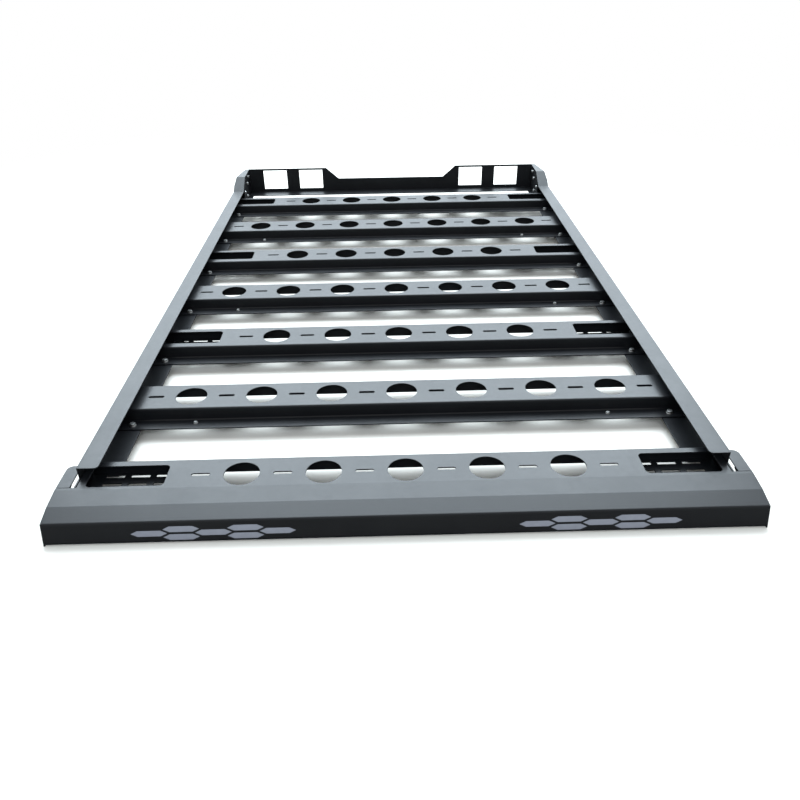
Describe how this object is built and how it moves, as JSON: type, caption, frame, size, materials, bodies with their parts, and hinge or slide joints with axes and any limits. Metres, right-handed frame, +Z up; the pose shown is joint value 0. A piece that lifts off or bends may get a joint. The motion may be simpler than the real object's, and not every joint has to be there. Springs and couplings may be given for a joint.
{
  "type": "roof basket",
  "caption": "Flat roof basket of folded black sheet: hat-section crossbars between channel rails, sloped fairing and lamp panel.",
  "frame": {"origin": "on the floor under the middle of the basket's box", "axes": "+X across to the right seen from the fairing, +Y from the fairing to the lamp panel, +Z up"},
  "size_m": [1.254, 1.982, 0.114],
  "materials": {
    "powder_coat": "satin",
    "zinc": "satin",
    "grey_paint": "matte"
  },
  "bodies": {
    "root": {"fairing_panel": "powder_coat", "crossbar_2": "powder_coat", "crossbar_3": "powder_coat", "crossbar_4": "powder_coat", "crossbar_5": "powder_coat", "crossbar_6": "powder_coat", "crossbar_7": "powder_coat", "lamp_panel": "powder_coat", "fairing_end_plate_left": "powder_coat", "lamp_bracket_left": "powder_coat", "rail_web_left": "powder_coat", "rail_cap_left": "powder_coat", "rail_foot_left": "powder_coat", "mount_tray_1_left": "powder_coat", "mount_tray_3_left": "powder_coat", "mount_tray_5_left": "powder_coat", "mount_tray_7_left": "powder_coat", "fairing_end_plate_right": "powder_coat", "lamp_bracket_right": "powder_coat", "rail_web_right": "powder_coat", "rail_cap_right": "powder_coat", "rail_foot_right": "powder_coat", "mount_tray_1_right": "powder_coat", "mount_tray_3_right": "powder_coat", "mount_tray_5_right": "powder_coat", "mount_tray_7_right": "powder_coat"}
  },
  "joints": []
}
